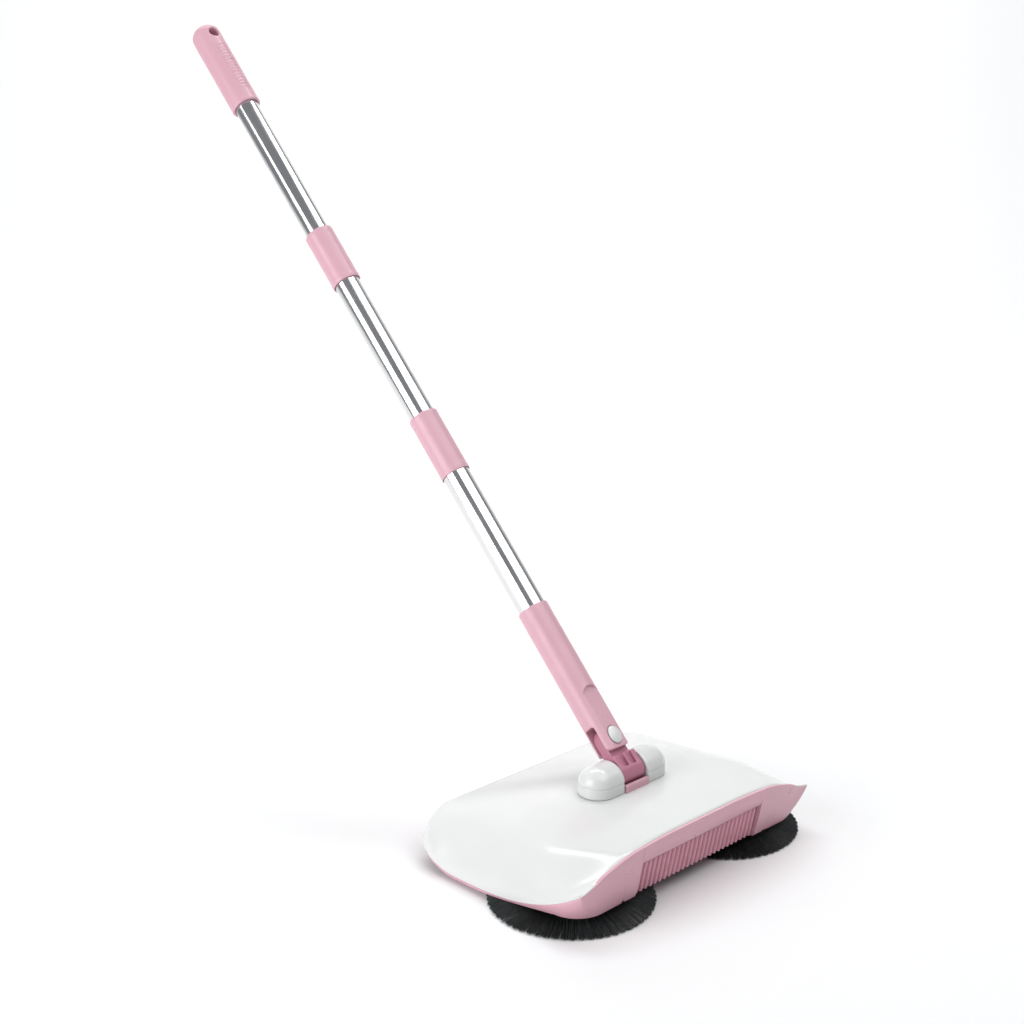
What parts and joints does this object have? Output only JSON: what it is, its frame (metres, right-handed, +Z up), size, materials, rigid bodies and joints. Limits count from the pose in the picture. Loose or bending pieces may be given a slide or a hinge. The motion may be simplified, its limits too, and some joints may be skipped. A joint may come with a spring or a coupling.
{
  "type": "carpet sweeper",
  "caption": "Hand-push floor sweeper: low wheeled head with geared rotary side brushes, a rear dust drawer, and a telescopic pole on a two-way joint.",
  "frame": {"origin": "on the floor, under the middle of the head", "axes": "+Z up, +X along the head's width, -Y towards the brushes and the front grille; the pole leans towards +Y"},
  "size_m": [0.258, 0.5315, 0.5357],
  "materials": {
    "white_gloss": "polished white shell, very glossy",
    "pink": "satin pink moulding with a fine grain",
    "dusky_pink": "duller, darker pink moulding",
    "polished_steel": "bright polished stainless tube with fine lengthwise lines",
    "plain_steel": "turned steel, faint rings",
    "rubber": "dull soft rubber",
    "dark_plastic": "grained dark moulding",
    "bristle": "stiff black nylon filament",
    "nylon": "natural nylon gear plastic, slightly waxy",
    "smoke": "smoke grey bin plastic with faint scuffs"
  },
  "bodies": {
    "head": {"top_cover": "white_gloss", "base_housing": "pink", "front_grille": "dusky_pink", "bottom_plate": "dusky_pink", "left_hinge_cap": "white_gloss", "right_hinge_cap": "white_gloss", "hinge_cradle": "dusky_pink", "tilt_pin": "plain_steel", "wiper_lip": "rubber", "left_front_screw": "plain_steel", "right_front_screw": "plain_steel", "left_rear_screw": "plain_steel", "right_rear_screw": "plain_steel", "left_rear_roller_pin": "plain_steel", "right_rear_roller_pin": "plain_steel"},
    "drawer": {"dust_bin": "smoke", "drawer_face": "pink"},
    "axle": {"drive_axle": "plain_steel", "left_drive_wheel": "dusky_pink", "right_drive_wheel": "dusky_pink", "left_tyre": "rubber", "right_tyre": "rubber", "pickup_roller": "rubber", "left_pinion": "nylon", "right_pinion": "nylon"},
    "left_brush": {"left_spindle": "plain_steel", "left_crown_gear": "nylon", "left_brush_hub": "dark_plastic", "left_bristles": "bristle", "left_brush_screw": "plain_steel"},
    "right_brush": {"right_spindle": "plain_steel", "right_crown_gear": "nylon", "right_brush_hub": "dark_plastic", "right_bristles": "bristle", "right_brush_screw": "plain_steel"},
    "left_roller": {"left_rear_roller": "dark_plastic"},
    "right_roller": {"right_rear_roller": "dark_plastic"},
    "joint_knuckle": {"knuckle": "dusky_pink"},
    "arm": {"lower_arm": "pink", "swing_pin": "plain_steel", "front_pin_button": "white_gloss", "rear_pin_button": "white_gloss", "lower_tube": "polished_steel", "lower_lock_sleeve": "dark_plastic"},
    "lower_lock": {"lower_collar": "pink"},
    "middle_pole": {"middle_tube": "polished_steel", "upper_lock_sleeve": "dark_plastic"},
    "upper_lock": {"upper_collar": "pink"},
    "upper_pole": {"upper_tube": "polished_steel", "grip": "pink"}
  },
  "joints": [
    {"name": "drawer_pull", "type": "slide", "parent": "head", "child": "drawer", "axis": [0, 1, 0], "range_m": [0, 0.085]},
    {"name": "axle_spin", "type": "hinge", "parent": "head", "child": "axle", "pos_m": [0, -0.0332, 0.021], "axis": [1, 0, 0], "continuous": true},
    {"name": "left_brush_spin", "type": "hinge", "parent": "head", "child": "left_brush", "pos_m": [-0.0743, -0.0332, 0.01], "axis": [0, 0, 1], "continuous": true},
    {"name": "right_brush_spin", "type": "hinge", "parent": "head", "child": "right_brush", "pos_m": [0.0743, -0.0332, 0.01], "axis": [0, 0, 1], "continuous": true},
    {"name": "left_roller_spin", "type": "hinge", "parent": "head", "child": "left_roller", "pos_m": [-0.088, 0.062, 0.008], "axis": [1, 0, 0], "continuous": true},
    {"name": "right_roller_spin", "type": "hinge", "parent": "head", "child": "right_roller", "pos_m": [0.088, 0.062, 0.008], "axis": [1, 0, 0], "continuous": true},
    {"name": "handle_tilt", "type": "hinge", "parent": "head", "child": "joint_knuckle", "pos_m": [0, -0.0112, 0.0565], "axis": [1, 0, 0], "range_deg": [-28, 43.4]},
    {"name": "handle_swing", "type": "hinge", "parent": "joint_knuckle", "child": "arm", "pos_m": [0, 0.00531, 0.07392], "axis": [0, 0.7259, -0.6878], "range_deg": [-45, 45]},
    {"name": "lower_lock_twist", "type": "hinge", "parent": "arm", "child": "lower_lock", "pos_m": [0, 0.17039, 0.24813], "axis": [0, 0.6878, 0.7259], "range_deg": [0, 90]},
    {"name": "middle_pole_slide", "type": "slide", "parent": "arm", "child": "middle_pole", "axis": [0, 0.6878, 0.7259], "range_m": [0, 0.18]},
    {"name": "upper_lock_twist", "type": "hinge", "parent": "middle_pole", "child": "upper_lock", "pos_m": [0, 0.28526, 0.36934], "axis": [0, 0.6878, 0.7259], "range_deg": [0, 90]},
    {"name": "upper_pole_slide", "type": "slide", "parent": "middle_pole", "child": "upper_pole", "axis": [0, 0.6878, 0.7259], "range_m": [-0.12, 0.183]}
  ],
  "couplings": [
    {"joint": "left_brush_spin", "follows": "axle_spin", "ratio": 0.30769},
    {"joint": "right_brush_spin", "follows": "axle_spin", "ratio": -0.30769}
  ]
}
